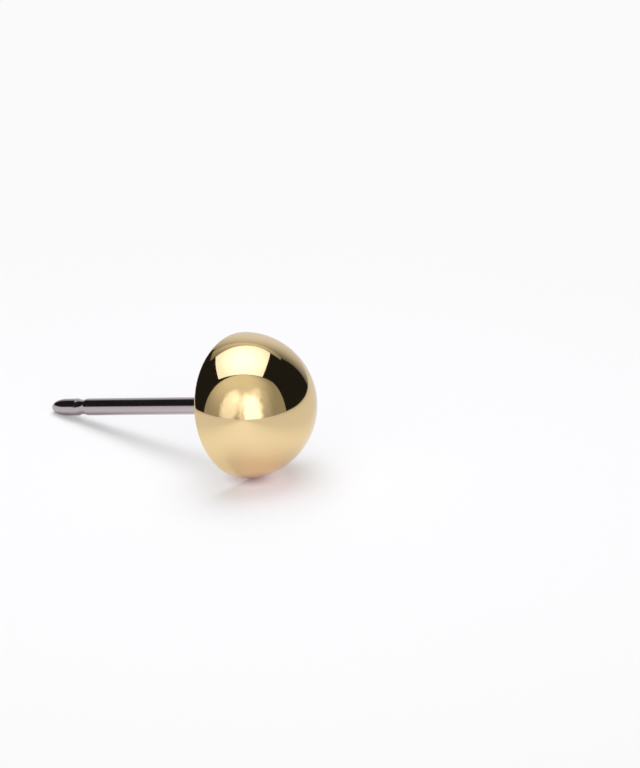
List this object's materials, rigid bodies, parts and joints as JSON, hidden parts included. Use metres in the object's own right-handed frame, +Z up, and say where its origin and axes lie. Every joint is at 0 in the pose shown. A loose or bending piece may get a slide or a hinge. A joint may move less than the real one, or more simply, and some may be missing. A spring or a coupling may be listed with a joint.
{
  "type": "half ball stud earring",
  "caption": "Half ball stud earring: hollow mirror-polished dome with a closed flat back and a straight grooved post, resting unworn on its rim and the tip of its post.",
  "frame": {"origin": "on the surface that the earring lies on, under the middle of its box", "axes": "+Z up from that surface; the dome faces -Y and 13.9 degrees upwards, and the post runs back towards +Y and down to the surface; the earring is symmetric about the plane x = 0"},
  "size_m": [0.0066, 0.0154, 0.0066],
  "materials": {
    "polished_gold": "mirror-polished gold plating on brass, with very faint polishing marks",
    "drawn_steel": "smooth drawn steel wire with fine lengthwise marks"
  },
  "bodies": {
    "root": {"half_ball": "polished_gold", "post": "drawn_steel"}
  },
  "joints": []
}
